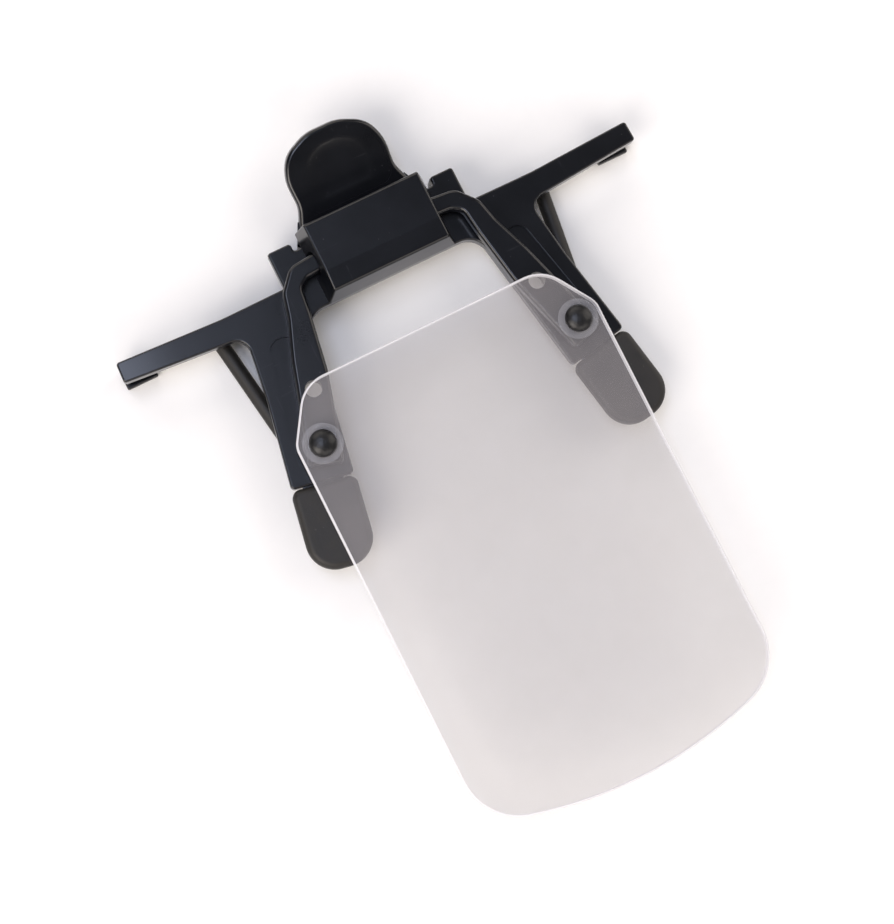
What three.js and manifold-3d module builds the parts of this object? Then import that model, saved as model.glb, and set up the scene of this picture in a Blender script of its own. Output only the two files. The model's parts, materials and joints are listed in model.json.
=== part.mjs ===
// Clip-on flip-up visor magnifier, lying on its back: a spring clip for the brow of a pair of
// spectacles, with a flip-up yoke that carries a flat lens plate in front of the eyes.
// Millimetres. +X is to the right seen from the front, +Y towards the thumb tab, +Z forwards.
// The front face of the clip frame is z = 0 while the parts are drawn; the group is moved at the end
// so that the middle of its underside is the origin.
import * as THREE from "three";
import { mergeVertices } from "three/addons/utils/BufferGeometryUtils.js";
import Module from "manifold-3d";

const wasm = await Module();
wasm.setup();

// ---------------------------------------------------------------- driving dimensions
const GAP = 0.2; // between parts that touch
const SPAN = 52; // middle of the clip to the end of a side arm
const FRAME_T = 2.8; // thickness of the frame moulding
const LEG_TILT = THREE.MathUtils.degToRad(10.5); // each front leg leans outwards
const LEG_END = { x: 28.1, y: -36.3, width: 11.7 };
const EAR = { x0: 14.2, x1: 18.8, y0: -0.8, y1: 5.1 };
const HOOK = { x0: 45.7, x1: SPAN - 0.2, depth: 8.8, shelf: 1.5, lip: 1.4, drop: 5.2 };
const PIN = { y: 2.15, z: -4.6, r: 1.0, run: 0.08 }; // lever pin, and its running clearance
const FLIP = { y: -0.6, z: 2.6, r: 2.0, run: 0.3 }; // axis of the flip-up yoke
const COVER = { w: 11.4, root: 12.8, front: 6.6, wall: 1.1 }; // half width in front and at the frame
const YOKE = { z0: 1.25, z1: 3.95 };
const PLATE = { w: 30.2, top: -19.6, z0: 4.15, t: 1.5, arcR: 80, arcY: -28.5, corner: 11 };
const SIGHT = { x: 22.5, y: -21.0, r: 1.55 }; // open holes at the plate's top corners
const RIVET = { x: 25.6, y: -30.7, r: 1.2, head: 2.5, washer: 3.7 };
const SLEEVE = { w: 12.2, len: 15.9, z0: -3.1, z1: 0.5 }; // rubber on a front leg
const WIRE = { y: -2.5, z: -6.3, footZ: -4.75, r: 0.7, cover: 1.4, x: 33.1, foot: [27.4, -46.6] };
const TAB = { z0: -4.0, z1: -1.6, lean: 20, bendY: 7.5 }; // thumb tab, leaning forwards in degrees

// ---------------------------------------------------------------- shape helpers
const X = new THREE.Vector3(1, 0, 0), Y = new THREE.Vector3(0, 1, 0), Z = new THREE.Vector3(0, 0, 1);
const SIDES = [["left", -1], ["right", 1]];
const facets = (radius) => Math.max(12, Math.min(40, Math.round(14 * Math.sqrt(radius))));

// A three.js geometry as a manifold solid, so that it can be joined and cut.
function solid(geometry) {
  const g = geometry.clone();
  g.deleteAttribute("normal");
  g.deleteAttribute("uv");
  const merged = mergeVertices(g, 1e-4);
  return new wasm.Manifold(new wasm.Mesh({
    numProp: 3,
    vertProperties: new Float32Array(merged.attributes.position.array),
    triVerts: new Uint32Array(merged.index.array),
  }));
}

const join = (...parts) => parts.reduce((whole, part) => whole.add(part));
const cut = (body, ...tools) => tools.reduce((whole, tool) => whole.subtract(tool), body);

// A closed outline through [x, y, radius] corners, each rounded with a true arc.
function outline(corners) {
  const shape = new THREE.Shape();
  const at = corners.map(([x, y]) => new THREE.Vector2(x, y));
  corners.forEach(([, , r = 0], i) => {
    const p = at[i];
    const back = at.at(i - 1).clone().sub(p), on = at[(i + 1) % at.length].clone().sub(p);
    const half = Math.acos(THREE.MathUtils.clamp(back.clone().normalize().dot(on.clone().normalize()), -1, 1)) / 2;
    const reach = Math.min(r / Math.tan(half), 0.49 * back.length(), 0.49 * on.length());
    if (r < 1e-6 || half > 1.56) {
      i ? shape.lineTo(p.x, p.y) : shape.moveTo(p.x, p.y);
      return;
    }
    const a = p.clone().addScaledVector(back.normalize(), reach);
    const b = p.clone().addScaledVector(on.normalize(), reach);
    const turn = Math.PI - 2 * half;
    const steps = Math.max(2, Math.ceil(turn / 0.22));
    const centre = p.clone().addScaledVector(back.add(on).normalize(), reach / Math.cos(half));
    const from = Math.atan2(a.y - centre.y, a.x - centre.x);
    let sweep = Math.atan2(b.y - centre.y, b.x - centre.x) - from;
    if (sweep > Math.PI) sweep -= 2 * Math.PI;
    if (sweep < -Math.PI) sweep += 2 * Math.PI;
    const radius = a.distanceTo(centre);
    for (let k = 0; k <= steps; k++) {
      const angle = from + (sweep * k) / steps;
      const q = [centre.x + radius * Math.cos(angle), centre.y + radius * Math.sin(angle)];
      i || k ? shape.lineTo(...q) : shape.moveTo(...q);
    }
  });
  return shape;
}

// The right half of an outline, from the bottom up, followed by its mirror image.
const bothHalves = (half) => [...half, ...half.filter(([x]) => x > 0).reverse().map(([x, y, r]) => [-x, y, r])];

// A slab of an outline from z0 to z1, with its edges rounded by a bevel that stays inside the outline.
function slab(shape, z0, z1, bevel = 0) {
  const g = new THREE.ExtrudeGeometry(shape, {
    depth: z1 - z0 - 2 * bevel, bevelEnabled: bevel > 0, bevelThickness: bevel, bevelSize: bevel,
    bevelOffset: -bevel, bevelSegments: 2, curveSegments: 8,
  });
  g.translate(0, 0, z0 + bevel);
  return solid(g);
}

// A slab whose outline is drawn in the y, z plane, from x0 to x1.
function sideSlab(corners, x0, x1, bevel = 0) {
  const depth = x1 - x0;
  const g = new THREE.ExtrudeGeometry(outline(corners), {
    depth: depth - 2 * bevel, bevelEnabled: bevel > 0, bevelThickness: bevel, bevelSize: bevel,
    bevelOffset: -bevel, bevelSegments: 2,
  });
  g.translate(0, 0, x0 + bevel);
  g.applyMatrix4(new THREE.Matrix4().makeBasis(Y, Z, X));
  return solid(g);
}

const block = (x0, x1, y0, y1, z0, z1) =>
  solid(new THREE.BoxGeometry(x1 - x0, y1 - y0, z1 - z0)
    .translate((x0 + x1) / 2, (y0 + y1) / 2, (z0 + z1) / 2));

// A round bar along X at y, z, or along Z at x, y.
const barX = (x0, x1, y, z, r) =>
  solid(new THREE.CylinderGeometry(r, r, x1 - x0, facets(r) * 2)
    .rotateZ(Math.PI / 2).translate((x0 + x1) / 2, y, z));
const barZ = (x, y, z0, z1, r) =>
  solid(new THREE.CylinderGeometry(r, r, z1 - z0, facets(r) * 2)
    .rotateX(Math.PI / 2).translate(x, y, (z0 + z1) / 2));

// A closed outline turned about the line parallel to Z through x, y; the profile is [radius, z] pairs.
function turned(profile, x, y) {
  const points = profile.map(([r, z]) => new THREE.Vector2(r, z));
  return solid(new THREE.LatheGeometry(points, 32).rotateX(Math.PI / 2).translate(x, y, 0));
}

// A round rod along a run of points.
class Run extends THREE.Curve {
  constructor(points) {
    super();
    this.points = points;
  }
  getPoint(t, target = new THREE.Vector3()) {
    const at = t * (this.points.length - 1);
    const i = Math.min(Math.floor(at), this.points.length - 2);
    return target.lerpVectors(this.points[i], this.points[i + 1], at - i);
  }
  getPointAt(t, target) {
    return this.getPoint(t, target);
  }
  getTangentAt(t, target) {
    return this.getTangent(t, target);
  }
}
function rod(points, r, sides = 12) {
  const ring = new THREE.Shape();
  for (let k = 0; k < sides; k++) {
    const a = (2 * Math.PI * k) / sides;
    k ? ring.lineTo(r * Math.cos(a), r * Math.sin(a)) : ring.moveTo(r, 0);
  }
  return solid(new THREE.ExtrudeGeometry(ring, {
    steps: points.length - 1, extrudePath: new Run(points), bevelEnabled: false,
  }));
}

// Front-leg space: y runs up the leg and (0, 0) is the middle of the leg's square end.
function alongLeg(side, corners) {
  const c = Math.cos(LEG_TILT), s = Math.sin(LEG_TILT);
  return corners.map(([x, y, r]) => [side * (LEG_END.x + x * c - y * s), LEG_END.y + x * s + y * c, r]);
}

const group = new THREE.Group();
group.name = "head_visor_magnifier";
function add(name, body, colour, roughness = 0.45) {
  const made = body.setTolerance(0.002).getMesh(); // drops slivers finer than 2 micrometres
  const g = new THREE.BufferGeometry();
  g.setAttribute("position", new THREE.BufferAttribute(new Float32Array(made.vertProperties), 3));
  g.setIndex(new THREE.BufferAttribute(new Uint32Array(made.triVerts), 1));
  g.computeVertexNormals();
  const mesh = new THREE.Mesh(g, new THREE.MeshStandardMaterial({ color: colour, roughness }));
  mesh.name = name;
  group.add(mesh);
}

// ---------------------------------------------------------------- clip frame
// One moulding: bridge, two ears for the lever pin, side arms with hooks, and two broad front legs.
const legRoot = [28.9, -6.8];
const [outerEnd] = alongLeg(1, [[LEG_END.width / 2, 0]]);
const [innerEnd] = alongLeg(1, [[-LEG_END.width / 2, 0]]);
const frameOutline = bothHalves([
  [17.2, -8.0, 4],
  [innerEnd[0], innerEnd[1], 0.8],
  [outerEnd[0], outerEnd[1], 0.8],
  [30.5, -18.3, 30],
  [...legRoot, 2.6],
  [SPAN, -4.9, 0.6],
  [SPAN - 0.2, -1.0, 0.6],
  [31.5, -2.0, 6],
  [EAR.x1, -1.9, 0.5],
  [EAR.x1, EAR.y1, 0.6],
  [EAR.x0, EAR.y1, 0.6],
  [EAR.x0, 3.5, 0.5],
]);
let frame = slab(outline(frameOutline), -FRAME_T, 0, 0.35);
// the bridge is thinned from behind, to make room for the lever and its spring
frame = cut(frame, block(-13.95, 13.95, -6, 7, -FRAME_T - 1, -1.8));

const earMiddle = (EAR.y0 + EAR.y1) / 2, earHalf = (EAR.y1 - EAR.y0) / 2;
const earProfile = [];
for (let k = 0; k <= 12; k++) {
  const a = Math.PI + (Math.PI * k) / 12;
  earProfile.push([earMiddle + earHalf * Math.cos(a), PIN.z + earHalf * Math.sin(a)]);
}
earProfile.push([EAR.y1, -0.9], [EAR.y0, -0.9]);
const hookTop = -1.2;
const hookProfile = [
  [hookTop, -1.4], [hookTop, -HOOK.depth, 0.8], [-HOOK.drop, -HOOK.depth, 0.5],
  [-HOOK.drop, -HOOK.depth + HOOK.lip, 0.4], [hookTop - HOOK.shelf, -HOOK.depth + HOOK.lip, 0.5],
  [hookTop - HOOK.shelf, -1.4],
];
for (const [, s] of SIDES) {
  const span = (a, b) => (s > 0 ? [a, b] : [-b, -a]);
  frame = join(frame, sideSlab(earProfile, ...span(EAR.x0, EAR.x1), 0.3));
  frame = join(frame, sideSlab(hookProfile, ...span(HOOK.x0, HOOK.x1), 0.25));
  // the bore for the lever pin is blind, and stops just inside the ear's outer face
  frame = cut(frame, barX(...span(EAR.x0 - 1, EAR.x1 - 0.3), PIN.y, PIN.z, PIN.r + PIN.run));
  // a shallow channel down the front of the leg
  const channel = outline(alongLeg(s, [[-3.4, 2.2, 1.4], [3.6, 2.2, 1.4], [2.6, 27, 2.4], [-2.4, 27, 2.4]]));
  frame = cut(frame, slab(channel, -0.45, 1));
  // the tongue that the rubber sleeve is pushed over
  const tongue = outline(alongLeg(s, [[-3.8, 1.5], [3.8, 1.5], [3.8, -12.5, 2.8], [-3.8, -12.5, 2.8]]));
  frame = join(frame, slab(tongue, -2.1, -0.5, 0.3));
  // the sight hole goes on through the leg, a little wider than it is in the yoke
  frame = cut(frame, barZ(s * SIGHT.x, SIGHT.y, -4, 1, SIGHT.r + 0.6));
  // holes for the pegs of the hinge cover
  frame = cut(frame, barZ(s * 7, -7.1, -4, 1, 0.85));
}
add("clip_frame", frame, "#24262c", 0.42);

for (const [name, s] of SIDES) {
  const w = SLEEVE.w / 2;
  const skin = outline(alongLeg(s, [[-w, -GAP, 1.6], [w, -GAP, 1.6], [w, -SLEEVE.len, 5.2], [-w, -SLEEVE.len, 5.2]]));
  const room = outline(alongLeg(s, [[-4, 1], [4, 1], [4, -12.7, 2.9], [-4, -12.7, 2.9]]));
  add(name + "_leg_sleeve", cut(slab(skin, SLEEVE.z0, SLEEVE.z1, 1), slab(room, -2.3, -0.3)), "#34312e", 0.6);
}

// ---------------------------------------------------------------- hinge cover and detent leaf
const coverSide = [
  [-8.2, GAP], [-7.2, 6.1, 0.5], [-3.3, COVER.front, 2], [5.9, COVER.front, 0.6], [6.2, GAP],
];
let cover = sideSlab(coverSide, -COVER.root, COVER.root);
// its flanks are drafted, so it is widest where it sits on the frame
const flanks = new THREE.ExtrudeGeometry(outline([
  [COVER.root + 0.03, 0], [COVER.w, COVER.front + 0.02, 0.7], [-COVER.w, COVER.front + 0.02, 0.7],
  [-COVER.root - 0.03, 0],
]), { depth: 20, bevelEnabled: false }).rotateX(Math.PI / 2).translate(0, 8, 0);
cover = cover.intersect(solid(flanks));
cover = cut(cover, block(-9.9, 9.9, -6.2, 4.7, -1, COVER.front - COVER.wall));
const journalRoom = FLIP.r + FLIP.run;
cover = cut(cover,
  barX(-COVER.root - 1, COVER.root + 1, FLIP.y, FLIP.z, journalRoom),
  block(-COVER.root - 1, COVER.root + 1, FLIP.y - journalRoom, FLIP.y + journalRoom, -1, FLIP.z));
for (const [, s] of SIDES) cover = join(cover, barZ(s * 7, -7.1, -2.5, 1, 0.75));
add("hinge_cover", cover, "#24262c", 0.42);

// a flat leaf under the cover's front wall, with its ends turned down, presses on the yoke's cam bar
const leafTop = COVER.front - COVER.wall - 0.12;
add("detent_spring", join(
  block(-9.6, 9.6, FLIP.y - 2.6, FLIP.y + 2.6, leafTop - 0.35, leafTop),
  block(-9.6, -9.25, FLIP.y - 2.6, FLIP.y + 2.6, leafTop - 0.6, leafTop),
  block(9.25, 9.6, FLIP.y - 2.6, FLIP.y + 2.6, leafTop - 0.6, leafTop),
), "#b9bcc0", 0.3);

// ---------------------------------------------------------------- flip-up yoke
const cam = 1.75; // half the width of the four-sided bar that clicks under the leaf
let yoke = join(
  sideSlab([
    [FLIP.y - cam, FLIP.z - cam, 0.8], [FLIP.y + cam, FLIP.z - cam, 0.8],
    [FLIP.y + cam, FLIP.z + cam, 0.8], [FLIP.y - cam, FLIP.z + cam, 0.8],
  ], -9, 9),
  barX(-13.3, -8.9, FLIP.y, FLIP.z, FLIP.r),
  barX(8.9, 13.3, FLIP.y, FLIP.z, FLIP.r),
);
for (const [, s] of SIDES) {
  const arm = [
    [12.8, 1.1, 0.7], [16.6, 0.6, 3], [19.9, -3.2, 3], [21.0, -7.6, 5], [23.7, -14.6, 20],
    [29.5, -33.2, 0.8], [23.4, -35.2, 0.8], [18.7, -19.2, 6], [16.8, -8.4, 6], [16.2, -3.7, 1.6],
    [14.4, -2.5, 1.2], [12.8, -2.3, 0.7],
  ].map(([x, y, r]) => [s * x, y, r]);
  yoke = join(yoke, slab(outline(arm), YOKE.z0, YOKE.z1, 0.5));
  yoke = cut(yoke, barZ(s * SIGHT.x, SIGHT.y, 0, 9, SIGHT.r), barZ(s * RIVET.x, RIVET.y, 0, 9, RIVET.r + 0.15));
}
add("yoke", yoke, "#26262e", 0.38);

// ---------------------------------------------------------------- lens plate and its fixings
// straight sides, clipped top corners, and a shallow bottom arc that runs into rounded corners
const cornerX = PLATE.w - PLATE.corner;
const cornerY = PLATE.arcY - Math.sqrt((PLATE.arcR - PLATE.corner) ** 2 - cornerX ** 2);
const meet = Math.atan2(cornerY - PLATE.arcY, cornerX);
function arc(x, y, r, from, to, steps) {
  const points = [];
  for (let k = 0; k <= steps; k++) {
    const a = from + ((to - from) * k) / steps;
    points.push([x + r * Math.cos(a), y + r * Math.sin(a)]);
  }
  return points;
}
const plateOutline = [
  ...arc(0, PLATE.arcY, PLATE.arcR, -Math.PI - meet, meet, 12),
  ...arc(cornerX, cornerY, PLATE.corner, meet, 0, 10).slice(1),
  [PLATE.w, -29.2, 4], [24.0, PLATE.top, 7], [-24.0, PLATE.top, 7], [-PLATE.w, -29.2, 4],
  ...arc(-cornerX, cornerY, PLATE.corner, -Math.PI, -Math.PI - meet, 10).slice(0, -1),
];
const plateFront = PLATE.z0 + PLATE.t;
let plate = slab(outline(plateOutline), PLATE.z0, plateFront, 0.2);
for (const [, s] of SIDES) plate = cut(plate, barZ(s * RIVET.x, RIVET.y, 0, 9, RIVET.r + 0.15));
add("lens_plate", plate, "#cbc5c2", 0.3);

for (const [name, s] of SIDES) {
  const x = s * RIVET.x, y = RIVET.y, washerTop = plateFront + 0.15 + 0.4;
  add(name + "_rivet_washer", turned([
    [RIVET.r + 0.1, plateFront + 0.15], [RIVET.washer, plateFront + 0.15],
    [RIVET.washer, washerTop - 0.15], [RIVET.washer - 0.15, washerTop],
    [RIVET.r + 0.1, washerTop], [RIVET.r + 0.1, plateFront + 0.15],
  ], x, y), "#d8d8dc", 0.2);
  // domed head, then the shank down to a mushroomed tail under the push-on ring
  const seat = washerTop + 0.1, tail = 0.22;
  const dome = [];
  for (let k = 0; k <= 6; k++) {
    const a = (Math.PI / 2) * (k / 6);
    dome.push([RIVET.head * Math.cos(a), seat + 0.35 + 1.25 * Math.sin(a)]);
  }
  dome[dome.length - 1][0] = 0;
  add(name + "_rivet", turned([
    [0, tail], [RIVET.r - 0.25, tail], [RIVET.r, tail + 0.25], [RIVET.r, seat],
    [RIVET.head - 0.15, seat], ...dome,
  ], x, y), "#17171a", 0.35);
  add(name + "_rivet_ring", turned([
    [RIVET.r + 0.05, 0.45], [2.3, 0.45], [2.3, YOKE.z0 - 0.12], [RIVET.r + 0.05, YOKE.z0 - 0.12],
    [RIVET.r + 0.05, 0.45],
  ], x, y), "#9a9ca0", 0.35);
}

// ---------------------------------------------------------------- lever pin and torsion spring
add("lever_pin", barX(-EAR.x1 + 0.5, EAR.x1 - 0.5, PIN.y, PIN.z, PIN.r), "#c3c6ca", 0.25);

const COIL = { r: 1.75, wire: 0.32, half: 6.2, turns: 9.5 };
// the rear leg bears on the lever's web, and the front leg on the back of the bridge
const coil = [new THREE.Vector3(-COIL.half, -1.2, PIN.z - 2.22)];
for (let k = 0; k <= COIL.turns * 16; k++) {
  const a = (2 * Math.PI * k) / 16;
  coil.push(new THREE.Vector3(
    -COIL.half + (2 * COIL.half * k) / (COIL.turns * 16), PIN.y + COIL.r * Math.sin(a), PIN.z - COIL.r * Math.cos(a),
  ));
}
coil.push(new THREE.Vector3(COIL.half, -2.8, PIN.z + 2.4));
add("torsion_spring", rod(coil, COIL.wire, 8), "#b9bcc0", 0.3);

// ---------------------------------------------------------------- thumb lever
// Rounded tab on a base that wraps behind the spring, and two cheeks that turn on the pin.
let lever = slab(outline(bothHalves([
  [11.4, 6.6, 1], [9.7, 10.8, 5], [10.0, 16.1, 8], [8.2, 20.3, 7], [3.2, 22.6, 8],
])), TAB.z0, TAB.z1, 0.7);
const dish = outline(bothHalves([[7.6, 9.2, 2], [8.3, 15.7, 6], [6.6, 18.8, 5], [2.6, 20.9, 6]]));
lever = cut(lever, slab(dish, TAB.z1 - 0.35, 1));
const bendZ = (TAB.z0 + TAB.z1) / 2;
lever = lever.translate([0, -TAB.bendY, -bendZ]).rotate([TAB.lean, 0, 0]).translate([0, TAB.bendY, bendZ]);
const rootFront = TAB.z1 - 0.95;
const back = [
  [8.4, rootFront], [8.4, -3.6, 1], [7.0, -6.6, 1], [4.8, -8.5, 1], [-4.6, -8.5, 0.6], [-4.6, -7.2, 0.3],
  [3.7, -7.2, 0.8], [5.5, -5.4, 0.8], [6.2, -3.4, 0.6], [6.2, rootFront, 0.4],
];
const cheek = [
  [8.5, rootFront], [8.5, -3.6, 1], [7.0, -6.6, 1], [4.8, -8.5, 1], [-4.6, -8.5, 0.6], [-4.6, -3.6, 1],
  [-0.3, -3.6, 0.3], [-0.3, -4.6], [4.6, -4.6], [5.3, -3.6, 0.4], [6.3, rootFront, 0.3],
];
let base = sideSlab(back, -12, 12);
for (const [, s] of SIDES) {
  const span = (a, b) => (s > 0 ? [a, b] : [-b, -a]);
  base = join(base, sideSlab(cheek, ...span(11.7, 13.9)), barX(...span(11.6, 13.8), PIN.y, PIN.z, 2.45));
  base = cut(base,
    barX(...span(11, 15), PIN.y, PIN.z, PIN.r + PIN.run),
    barX(...span(11, 15), WIRE.y, WIRE.z, WIRE.r + 0.1));
}
const flare = outline(bothHalves([[14.5, -6], [14.1, 0.5, 2], [13.0, 4.2, 1], [11.5, 7.2, 1], [9.7, 11]]));
base = base.intersect(slab(flare, -12, 1));
add("thumb_lever", join(lever, base), "#26272a", 0.45);

// ---------------------------------------------------------------- rear jaw: bent wire in rubber covers
// Across behind the clip frame, round a bend past each ear, and down to a foot behind the leg sleeve.
function jawRun(s, startX) {
  const [footX, footY] = WIRE.foot, bend = 2.6;
  const down = new THREE.Vector2(footX - WIRE.x, footY + 5.2).normalize();
  const corner = new THREE.Vector2(WIRE.x - (WIRE.y + 5.2) * (down.x / down.y) * -1, WIRE.y);
  const points = [[startX, WIRE.y]];
  for (let k = 0; k <= 6; k++) {
    const t = k / 6;
    points.push([
      (1 - t) ** 2 * (corner.x - bend) + 2 * t * (1 - t) * corner.x + t * t * (corner.x + bend * down.x),
      (1 - t) ** 2 * WIRE.y + 2 * t * (1 - t) * WIRE.y + t * t * (WIRE.y + bend * down.y),
    ]);
  }
  points.push([footX, footY]);
  // the wire comes forwards as it runs down, so that the foot bears on the back of the leg sleeve
  return points.map(([x, y]) => new THREE.Vector3(
    s * x, y, WIRE.z + ((WIRE.footZ - WIRE.z) * (y - WIRE.y)) / (footY - WIRE.y),
  ));
}
const half = jawRun(1, 14.5);
const wirePath = [...jawRun(-1, 14.5).reverse(), ...half].filter((p) => Math.abs(p.x) > 14.6);
add("rear_wire", rod(wirePath, WIRE.r), "#b4b7bb", 0.3);
for (const [name, s] of SIDES) {
  const run = jawRun(s, 14.3);
  const foot = run.at(-1), last = foot.clone().sub(run.at(-2)).normalize();
  const outer = [...run.slice(0, -1), foot.clone().addScaledVector(last, 0.6)];
  const tip = solid(new THREE.SphereGeometry(WIRE.cover, 16, 10).translate(...outer.at(-1).toArray()));
  const room = [run[0].clone().add(new THREE.Vector3(-s, 0, 0)), ...run.slice(1, -1), foot.clone().addScaledVector(last, 0.2)];
  add(name + "_rear_sleeve", cut(join(rod(outer, WIRE.cover, 16), tip), rod(room, WIRE.r + 0.12)), "#34312e", 0.6);
}

// ---------------------------------------------------------------- stand it on its back
const bounds = new THREE.Box3().setFromObject(group);
const middle = bounds.getCenter(new THREE.Vector3());
group.position.set(-middle.x, -middle.y, -bounds.min.z);

export default group;
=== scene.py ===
# %% [markdown]
# # A clip-on flip-up visor, piece by piece
# The real object is a small moulded clip that hooks over a pair of spectacles. It carries a yoke
# that flips up, and the yoke holds a flat, slightly hazy acrylic plate. Here it lies on its back.
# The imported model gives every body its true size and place. This script models its pieces once
# more, with finer edges, and gives each of them its finish.

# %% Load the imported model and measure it
import json
import math

import bpy
from mathutils import Matrix, Vector


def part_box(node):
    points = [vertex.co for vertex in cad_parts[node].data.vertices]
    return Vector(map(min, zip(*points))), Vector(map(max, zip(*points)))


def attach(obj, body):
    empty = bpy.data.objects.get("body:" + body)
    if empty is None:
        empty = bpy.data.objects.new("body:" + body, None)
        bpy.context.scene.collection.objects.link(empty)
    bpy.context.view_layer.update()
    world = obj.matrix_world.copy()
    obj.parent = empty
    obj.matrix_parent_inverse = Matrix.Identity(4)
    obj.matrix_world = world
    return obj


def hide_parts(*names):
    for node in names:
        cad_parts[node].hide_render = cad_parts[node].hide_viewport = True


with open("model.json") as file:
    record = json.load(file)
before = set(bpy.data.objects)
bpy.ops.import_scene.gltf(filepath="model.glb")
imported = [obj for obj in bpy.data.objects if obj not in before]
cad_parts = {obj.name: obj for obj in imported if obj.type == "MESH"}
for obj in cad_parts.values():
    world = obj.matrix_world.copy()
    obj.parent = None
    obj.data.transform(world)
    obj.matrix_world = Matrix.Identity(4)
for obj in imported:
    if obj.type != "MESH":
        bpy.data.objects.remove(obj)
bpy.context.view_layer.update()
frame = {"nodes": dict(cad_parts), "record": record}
record = frame["record"]
MM = 0.001

# %% [markdown]
# A maker needs one datum to measure everything from. The best one on this clip is the front face
# of the frame at the middle of the hinge line, because every piece was drawn from there. The two
# ears of the frame reach 5.1 mm above the datum and its front face is its highest plane.

# %% Datum
EAR_TOP = 5.1
frame_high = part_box("clip_frame")[1]
DATUM = Vector((0, frame_high.y - EAR_TOP * MM, frame_high.z))


def at(x, y, z):
    """A point in space from millimetres off the datum."""
    return DATUM + Vector((x, y, z)) * MM


print("datum in mm:", [round(c / MM, 2) for c in DATUM])

# %% [markdown]
# The camera looks almost straight down on the clip, from a little to its left, and is turned so
# that the clip lies aslant. Three directions make its matrix: right, up and backwards.

# %% Camera
SENSOR_WIDTH, LENS = 36, 81.95
NEAREST_SEEN = 0.01
CAMERA_SPOT = (-0.05594, -0.01873, 0.37162)
LOOK, UP = Vector((0.13473, 0.05185, -0.98952)), Vector((0.43964, 0.89183, 0.10659))
bpy.ops.object.select_all(action="DESELECT")
bpy.ops.object.camera_add()
camera = bpy.context.object
camera.name = "camera"
camera.data.sensor_fit = "HORIZONTAL"
camera.data.sensor_width = SENSOR_WIDTH
camera.data.lens = LENS
camera.data.clip_start = NEAREST_SEEN
turn = Matrix((LOOK.cross(UP), UP, -LOOK)).transposed().to_4x4()
camera.matrix_world = Matrix.Translation(CAMERA_SPOT) @ turn
bpy.context.scene.camera = camera
print("camera height in mm:", round(camera.location.z / MM))

# %% [markdown]
# Nearly every moulded piece of the clip is a flat outline with rounded corners and some
# thickness. By hand one would start from a small plane, merge it to one point, and extrude that
# point from corner to corner. The corners are drawn first as short straight steps along an arc.

# %% Outlines with rounded corners
STEP = 0.13  # radians that one straight step of an arc turns through
NEARLY_STRAIGHT = 1.56  # radians in half of a corner that is too flat to round
MOST_OF_A_SIDE = 0.49  # the share of a side that the arc at one end of it may use


def arc(x, y, radius, start, end, steps):
    """Points along an arc about (x, y), from one angle to another."""
    turns = [start + (end - start) * k / steps for k in range(steps + 1)]
    return [(x + radius * math.cos(a), y + radius * math.sin(a)) for a in turns]


def rounded(corners):
    """Points of a closed outline through (x, y, radius) corners, each corner a true arc."""
    points = []
    spots = [Vector(c[:2]) for c in corners]
    for i, corner in enumerate(corners):
        here, radius = spots[i], corner[2] if len(corner) > 2 else 0
        back, on = spots[i - 1] - here, spots[(i + 1) % len(spots)] - here
        half = back.angle(on) / 2
        if radius == 0 or half > NEARLY_STRAIGHT:
            points.append(here)
            continue
        longest = MOST_OF_A_SIDE * min(back.length, on.length)
        reach = min(radius / math.tan(half), longest)
        first = here + back.normalized() * reach
        middle = here + (back.normalized() + on.normalized()).normalized() * reach / math.cos(half)
        sweep = (math.pi - 2 * half) * (1 if back.cross(on) < 0 else -1)
        count = max(2, math.ceil(abs(sweep) / STEP))
        arm = first - middle
        for k in range(count + 1):
            c, s = math.cos(sweep * k / count), math.sin(sweep * k / count)
            points.append(middle + Vector((arm.x * c - arm.y * s, arm.x * s + arm.y * c)))
    return points


def both_halves(half):
    """The right half of an outline, from the bottom up, and then its mirror image."""
    return list(half) + [(-x, *rest) for x, *rest in reversed(half) if x > 0]


print("steps in a quarter circle:", math.ceil(math.pi / 2 / STEP))


# %% [markdown]
# Each tool below does what a hand would do in edit mode: trace an outline and pull it to a
# thickness, turn a profile about an axis, or lay a round wire along a run of points.

# %% Tools that make a shape
DRAWN = {"Z": lambda u, v, w: at(u, v, w), "X": lambda u, v, w: at(w, u, v)}
TOUCHING = 0.002  # mm between points that count as one
ROUND_END = (15, 30, 45, 58, 70, 80, 87)  # degrees up a wire's rounded end, one ring of points each


def start_at(name, spots):
    """A plane merged to one point and extruded from spot to spot; it stays in edit mode."""
    bpy.ops.object.select_all(action="DESELECT")
    bpy.ops.mesh.primitive_plane_add(size=MM, location=spots[0])
    piece = bpy.context.object
    piece.name = name
    bpy.ops.object.transform_apply(location=True)
    bpy.ops.object.mode_set(mode="EDIT")
    bpy.ops.mesh.select_mode(type="VERT")
    bpy.ops.mesh.select_all(action="SELECT")
    bpy.ops.mesh.merge(type="CENTER")
    for here, there in zip(spots, spots[1:]):
        bpy.ops.mesh.extrude_region_move(TRANSFORM_OT_translate={"value": there - here})
    bpy.ops.mesh.select_all(action="SELECT")
    return piece


def close_up():
    """Merge what touches, turn every face outwards and leave edit mode."""
    bpy.ops.mesh.select_all(action="SELECT")
    bpy.ops.mesh.remove_doubles(threshold=TOUCHING * MM)
    bpy.ops.mesh.normals_make_consistent(inside=False)
    bpy.ops.object.mode_set(mode="OBJECT")


def traced(name, corners, low, high, along="Z"):
    """A slab of an outline: drawn in x, y and pulled along Z, or drawn in y, z and along X."""
    place = DRAWN[along]
    piece = start_at(name, [place(u, v, low) for u, v in rounded(corners)])
    bpy.ops.mesh.edge_face_add()
    pull = place(0, 0, high) - place(0, 0, low)
    bpy.ops.mesh.extrude_region_move(TRANSFORM_OT_translate={"value": pull})
    close_up()
    return piece


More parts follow.
